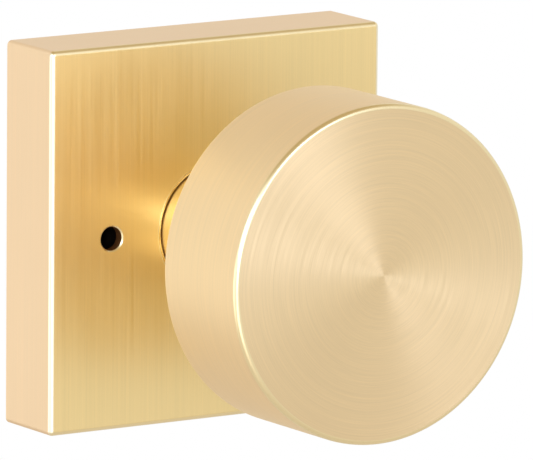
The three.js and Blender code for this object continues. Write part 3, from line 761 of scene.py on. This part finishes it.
def housing_screw(x, z, turn):
    """Pan-head screw with a cross recess and a thread."""
    head = lathe(
        "screw",
        [(0, -1.7), (2.8, -1.7, 0.95), (2.8, -0.3, 0.1), (1.05, -0.3), (1.05, 4.2), (0, 4.6)],
        64,
    )
    join(head, screw_rod("thread", 1.2, 0.6, 0.2, 4.3, height=0.2, sides=32))
    recess = []
    for across in (False, True):
        rings = []
        for depth, long, wide in ((-2.0, 1.75, 0.4), (-0.75, 0.75, 0.24)):
            corners = [(long, wide), (-long, wide), (-long, -wide), (long, -wide)]
            rings.append([(b, depth, a) if across else (a, depth, b) for a, b in corners])
        recess.append(loft("recess", rings))
    cut(head, *recess)
    head.data.transform(Matrix.Translation((x * MM, 0, z * MM)) @ Matrix.Rotation(math.radians(turn), 4, "Y"))
    return head


def mounting_post(z):
    """Hexagonal post with a round flange, chamfered corners and an internal thread."""
    flats, shoulder = 8.0, -1.8
    end = depths("mounting_post_upper")[0]
    reach = flats / math.sqrt(3)
    corners = [(reach * math.sin(TAU * k / 6), reach * math.cos(TAU * k / 6)) for k in range(6)]
    post = prism("post", corners, end, shoulder + 0.2)
    wide = flats / 2 + 1.2
    chamfer = [(0, end), (flats / 2 - 0.3, end), (wide, end + 0.9), (wide, 0), (0, 0)]
    combine(post, "INTERSECT", lathe("chamfer", chamfer, 96))
    flange = rod("flange", 5.5, shoulder, -0.3, edge=0.3, segments=96)
    join(post, flange, rod("spigot", 2.9, -0.8, 1.6, edge=0.1))
    mouth, drill = 2.75, 2.1
    entry = [(0, end - 1), (mouth, end - 1), (mouth, end)]
    drilled = [(drill, end + mouth - drill), (drill, -5), (0, -4)]
    thread = screw_rod("thread", 2.5, 0.8, end - 0.6, -16, height=0.42, sides=40)
    cut(post, lathe("mouth", entry + drilled, 64), thread)
    post.data.transform(Matrix.Translation((0, 0, z * MM)))
    return post


def grub_screw(node):
    """Threaded headless screw with a hexagon socket, standing along Z with its socket down."""
    radius, pitch = half_width(node), 0.7
    socket_end, tip = heights(node)
    screw = screw_rod("grub", radius, pitch, -tip, -socket_end, height=0.3)
    wide, reach = radius + 0.1, 1.15
    tip_corners = [(0, -tip), (radius - 0.5, -tip), (wide, -tip + 0.6)]
    socket_corners = [(wide, -socket_end - 0.35), (radius - 0.3, -socket_end), (0, -socket_end)]
    combine(screw, "INTERSECT", lathe("ends", tip_corners + socket_corners, 64))
    corners = [(reach * math.cos(TAU * k / 6), reach * math.sin(TAU * k / 6)) for k in range(6)]
    cut(screw, prism("socket", corners, -socket_end - 1.6, -socket_end + 1))
    return upright(screw, centre_of(node)[1])


def neck_bushing():
    """Flanged plain bearing."""
    bore, outer, flange = 8.8, 10.3, half_width("neck_bushing")
    back, front = depths("neck_bushing")
    under = front - 0.5
    wide = [(bore, front, 0.1), (flange, front, 0.15), (flange, under, 0.15)]
    return lathe("bushing", wide + [(outer, under), (outer, back, 0.3), (bore, back, 0.3)], 128)


def backing_washer():
    """Washer between the plate and the retaining ring."""
    bore, outer = 8.8, half_width("backing_washer")
    back, front = depths("backing_washer")
    outline = [(bore, front, 0.1), (outer, front, 0.15), (outer, back, 0.2), (bore, back, 0.15)]
    return lathe("washer", outline, 128)


def stop_pin():
    """Pin in the plate that stops the driver at each end of its turn."""
    return rod("pin", half_width("stop_pin"), *depths("stop_pin"), 0, STOP_PIN_Z, edge=0.25)


def release_guide():
    """Tube with a floor that the plunger's thin end runs through."""
    outer, bore, hole = half_width("release_guide"), 2.5, 1.6
    back, front = depths("release_guide")
    floor = back + 1.5
    outside = [(bore, front, 0.2), (outer, front, 0.4), (outer, back, 0.25)]
    inside = [(hole, back, 0.15), (hole, floor), (bore, floor)]
    return lathe("release_guide", outside + inside, 96, RELEASE_X)


def release_plunger():
    """Stem with a groove for its clip, and a head with a dish for the tool's tip."""
    stem, groove, head, dish = 1.3, 0.9, half_width("release_plunger"), 1.15
    back, front = depths("release_plunger")
    under, dish_floor = front - 2, front - 0.65
    tail = [(0, back), (stem, back, 0.45), (stem, -7.3, 0.05)]
    clip_groove = [(groove, -7.3), (groove, -6.1), (stem, -6.1, 0.05)]
    button = [(stem, under), (head, under, 0.15), (head, front, 0.4), (dish, front, 0.15), (0, dish_floor)]
    return lathe("release_plunger", tail + clip_groove + button, 72, RELEASE_X)


def release_clip():
    """E-clip, open at the top."""
    inner, outer = 1.05, half_width("release_clip")
    back, front = depths("release_clip")
    clip = lathe("clip", [(inner, front), (outer, front), (outer, back), (inner, back)], 72)
    notches = [rod("notch", 0.62, -8, -5, side * 1.5, -0.35) for side in (-1, 1)]
    cut(clip, block("gap", (-0.85, -8, 0), (0.85, -5, 4)), *notches)
    bevel(clip, 0.08, 2)
    clip.data.transform(Matrix.Translation((RELEASE_X * MM, 0, 0)))
    return clip


def retaining_ring():
    """Open ring with an ear and an eye at each end."""
    inner, outer = 7.7, half_width("retaining_ring")
    back, front = depths("retaining_ring")
    ring = lathe("ring", [(inner, front), (outer, front), (outer, back), (inner, back)], 128)
    join(ring, *[rod("ear", 1.7, back, front, side * 2.6, 10) for side in (-1, 1)])
    holes = [rod("hole", 0.7, -4, 0, side * 2.6, 10.3) for side in (-1, 1)]
    cut(ring, *holes, block("gap", (-0.9, -4, 3), (0.9, 0, 14)))
    return bevel(ring, 0.12, 2)


def knob_shank():
    """Steel shank, with flats, a ring groove, a square socket, a cross hole and a screw seat."""
    back, front = depths("knob_shank")
    radius, step, groove = half_width("knob_shank"), 12.2, 7.4
    tail = [(0, back), (JOURNAL, back, 0.8), (JOURNAL, -2.9, 0.1)]
    ring_groove = [(groove, -2.9), (groove, -1.3), (JOURNAL, -1.3, 0.1), (JOURNAL, step)]
    body = [(radius, step, 0.2), (radius, front, 0.5), (0, front)]
    shank = lathe("shank", tail + ring_groove + body, 128)
    flats = [block("flat", (7, -10, -12), (12, 8.4, 12)), block("flat", (-12, -10, -12), (-7, 8.4, 12))]
    socket = prism("socket", rounded_square(8.3, 0.35, 4), -10, 26)
    lead_rings = []
    for depth, side in ((-9.6, 9.9), (-8.2, 8.1)):
        lead_rings.append([(x, depth, z) for x, z in rounded_square(side, 0.5, 4)])
    seat = upright(rod("seat", 2.3, 7.8, 12), KNOB_SCREW_DEPTH)
    cross = crosswise(rod("cross", 1.5, -12, 12), CROSS_PIN_DEPTH)
    cut(shank, *flats, socket, loft("lead", lead_rings), cross, seat)
    return bevel(shank, 0.12, 2, 40)


def spindle():
    """Square bar with eased edges and a tapered back end."""
    back, front = depths("spindle")
    bar = prism("bar", rounded_square(2 * half_width("spindle"), 0.45, 5), back, front)
    point, wide = 4.5, 5.7
    back_end = [(0, back), (point, back), (wide, back + wide - point)]
    combine(bar, "INTERSECT", lathe("ends", back_end + [(wide, front), (0, front)], 96))
    cut(bar, crosswise(rod("cross", 1.5, -12, 12), CROSS_PIN_DEPTH))
    return bevel(bar, 0.15, 2, 25)


def spindle_pin():
    """Pin through the shank and the spindle."""
    reach = half_width("spindle_pin")
    return crosswise(rod("pin", 1.25, -reach, reach, edge=0.3), CROSS_PIN_DEPTH)


def spring_driver():
    """Keyed collar with a flange, a stop notch and a slotted lug for the spring's back leg."""
    back, front = depths("spring_driver")
    flange_front, radius = 3.3, half_width("spring_driver")
    driver = rod("hub", 10.9, back, front, edge=0.3, segments=96)
    join(driver, rod("flange", radius, back, flange_front, segments=128))
    join(driver, prism("lug", sector(13.25, radius, 76, 104), back, 5.55))
    key = rod("key", 8.8, 1, 10, segments=96)
    combine(key, "INTERSECT", block("sides", (-7.3, 0, -12), (7.3, 10, 12)))
    cut(driver, key, block("slot", (-1.05, flange_front, 12.2), (1.05, 9, 16)))
    notch_half, bottom = 65.2, -90
    notch = sector(12.4, 17, bottom - notch_half, bottom + notch_half, 30)
    cut(driver, prism("notch", notch, 1, 4.3))
    return bevel(driver, 0.12, 2, 40)


def knob_insert():
    """Cast spider with three arms."""
    back, front = depths("knob_insert")
    insert = rod("insert", 13.5, back, front, edge=0.6, segments=96)
    for k in range(3):
        arm = bevel(block("arm", (5, back, -3), (27, front, 3)), 0.7)
        arm.data.transform(Matrix.Rotation(-k * TAU / 3, 4, "Y"))
        join(insert, arm)
    return cut(insert, rod("bore", 9.6, 40, 70, segments=96))


def coil(name, radius, wire, back, front, turns, start, legs=(0.0, 0.0), x=0.0, dead=0.0):
    """A coil about Y from its front to its back. It has a leg of given reach at each end, or closed ends.

    At each closed end, the share of the turns that dead gives has no pitch.
    """
    steps_in_a_turn, leg_steps = 40, 5
    count = round(turns * steps_in_a_turn)
    path = []
    if legs[0]:
        path += [(radius + legs[0] * (1 - k / leg_steps), start, front) for k in range(leg_steps)]
    for k in range(count + 1):
        share = k / count
        lift = share if not dead else min(max((share - dead) / (1 - 2 * dead), 0), 1)
        path.append((radius, start + 360 * turns * share, front + (back - front) * lift))
    if legs[1]:
        end = start + 360 * turns
        path += [(radius + legs[1] * k / leg_steps, end, back) for k in range(1, leg_steps + 1)]
    points = [(x + r * math.cos(math.radians(a)), d, r * math.sin(math.radians(a))) for r, a, d in path]
    return tube(name, points, wire, 16)


def spring(obj, node):
    """Gives a spring its finish, then unparents it and bakes its place into its mesh."""
    dress(obj, node, spring_wire)
    obj.parent = None
    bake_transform(obj)


dress(mounting_plate(), "mounting_plate", zinc)
dress(spring_housing(), "spring_housing", casting)
for node, (x, z), turn in zip(HOUSING_SCREWS, EARS, (12, 58, -25, 37)):
    dress(housing_screw(x, z, turn), node, zinc)
dress(mounting_post(POST_Z), "mounting_post_upper", zinc)
dress(mounting_post(-POST_Z), "mounting_post_lower", zinc)
for node in ("rose_set_screw", "knob_set_screw"):
    dress(grub_screw(node), node, oxide)
dress(neck_bushing(), "neck_bushing", acetal)
dress(backing_washer(), "backing_washer", zinc)
dress(stop_pin(), "stop_pin", oxide)
dress(release_guide(), "release_guide", oxide)
dress(release_plunger(), "release_plunger", oxide)
dress(release_clip(), "release_clip", spring_wire)
dress(retaining_ring(), "retaining_ring", spring_wire)
dress(knob_shank(), "knob_shank", zinc)
dress(spindle(), "spindle", zinc)
dress(spindle_pin(), "spindle_pin", oxide)
dress(spring_driver(), "spring_driver", zinc)
dress(knob_insert(), "knob_insert", casting)
torsion_back, torsion_front = 4.35, 8.85
spring(
    coil("return_spring", 12.2, 0.75, torsion_back, torsion_front, 2.5, -90, legs=(4.2, 2.2)),
    "return_spring",
)
pressed_back, pressed_front = -4.1, 5.6
spring(
    coil("release_spring", 1.9, 0.25, pressed_back, pressed_front, 8, 0, x=RELEASE_X, dead=0.09),
    "release_spring",
)

# ---------------------------------------------------------------- camera and lights


def towards(azimuth, elevation):
    """A direction out from the object, from degrees. Azimuth 0 is in front, and 90 is to the right."""
    azimuth, elevation = math.radians(azimuth), math.radians(elevation)
    return Vector(
        (
            math.sin(azimuth) * math.cos(elevation),
            -math.cos(azimuth) * math.cos(elevation),
            math.sin(elevation),
        )
    )


AZIMUTH = -32.745
ELEVATION = 10.175
ROLL = math.radians(0.482)
DISTANCE = 1720.6
TARGET = Vector((6.836, -20.09, -0.111))

back = towards(AZIMUTH, ELEVATION)
right = (-back).cross(Vector((0, 0, 1))).normalized()
up = right.cross(-back)
rolled_right = right * math.cos(ROLL) + up * math.sin(ROLL)
rolled_up = up * math.cos(ROLL) - right * math.sin(ROLL)
lens = bpy.data.cameras.new("camera")
lens.sensor_width = 36
lens.lens = 672.3
lens.clip_end = 100
camera = bpy.data.objects.new("camera", lens)
scene.collection.objects.link(camera)
turn = Matrix((rolled_right, rolled_up, back)).transposed().to_4x4()
camera.matrix_world = Matrix.Translation((TARGET + back * DISTANCE) * MM) @ turn
scene.camera = camera

LIGHT_DISTANCE = 1.6
LIGHT_CENTRE = Vector((0, -0.03, 0))
WHITE_LIGHT = (1, 1, 1)
COOL_LIGHT = (0.9, 1.0, 1.35)


def softbox(name, azimuth, elevation, width, height, watts, tint=WHITE_LIGHT):
    """An area light that faces the object from a direction given as the camera's is."""
    out = towards(azimuth, elevation)
    data = bpy.data.lights.new(name, "AREA")
    data.shape = "RECTANGLE"
    data.size = width
    data.size_y = height
    data.energy = watts
    data.color = tint
    obj = bpy.data.objects.new(name, data)
    scene.collection.objects.link(obj)
    obj.location = out * LIGHT_DISTANCE + LIGHT_CENTRE
    obj.rotation_euler = out.to_track_quat("Z", "Y").to_euler()
    obj.visible_camera = False


softbox("key", -60, 20, 1.2, 0.6, 7.6, (0.88, 1.0, 1.35))
softbox("front", -26, 4, 0.8, 0.6, 5, COOL_LIGHT)
softbox("left", -100, -10, 0.86, 0.86, 2.8)
softbox("low", -40, -24, 0.9, 0.56, 2.4)
softbox("high", 6, 24, 0.8, 0.7, 4.6, COOL_LIGHT)
softbox("back", 180, 0, 1.16, 1.16, 3.6)

# ---------------------------------------------------------------- surroundings


def studio_world():
    """White where the camera sees it. Other rays see a room whose light changes with height."""
    world = bpy.data.worlds.new("studio")
    scene.world = world
    world.use_nodes = True
    tree = world.node_tree
    tree.nodes.clear()
    out = tree.nodes.new("ShaderNodeOutputWorld")
    seen = tree.nodes.new("ShaderNodeBackground")
    seen.inputs[0].default_value = (1, 1, 1, 1)
    lit = tree.nodes.new("ShaderNodeBackground")
    lit.inputs[1].default_value = 1.0
    path = tree.nodes.new("ShaderNodeLightPath")
    mix = tree.nodes.new("ShaderNodeMixShader")
    tree.links.new(path.outputs["Is Camera Ray"], mix.inputs[0])
    tree.links.new(lit.outputs[0], mix.inputs[1])
    tree.links.new(seen.outputs[0], mix.inputs[2])
    tree.links.new(mix.outputs[0], out.inputs[0])
    direction = tree.nodes.new("ShaderNodeTexCoord")
    split = tree.nodes.new("ShaderNodeSeparateXYZ")
    tree.links.new(direction.outputs["Generated"], split.inputs[0])
    height = tree.nodes.new("ShaderNodeMapRange")
    height.inputs[1].default_value = -1
    tree.links.new(split.outputs[2], height.inputs[0])
    ramp = tree.nodes.new("ShaderNodeValToRGB")
    tree.links.new(height.outputs[0], ramp.inputs[0])
    tree.links.new(ramp.outputs[0], lit.inputs[0])
    cream, white, warm = (1, 0.92, 0.8), (1, 0.985, 0.925), (1, 0.78, 0.45)
    stops = [
        (0.0, 0.72, cream),
        (0.27, 0.72, cream),
        (0.37, 0.82, white),
        (0.63, 0.82, white),
        (0.71, 0.92, white),
        (0.82, 0.86, white),
        (0.9, 0.55, warm),
        (1.0, 0.55, warm),
    ]
    while len(ramp.color_ramp.elements) < len(stops):
        ramp.color_ramp.elements.new(0.5)
    for element, (place, level, hue) in zip(ramp.color_ramp.elements, stops):
        element.position = place
        element.color = (*[level * part for part in hue], 1)


def pale_floor():
    """Low enough to stay out of the views from the side."""
    height, half = -2600, 1200
    corners = [(-half, -half), (half, -half), (half, half), (-half, half)]
    floor = make("floor", [(x, depth, height) for x, depth in corners], [(0, 1, 2, 3)])
    floor.data.materials.append(Shader("floor_paint").set(colour=(0.85, 0.85, 0.84), roughness=0.8))


studio_world()
pale_floor()
scene.view_settings.view_transform = "Standard"
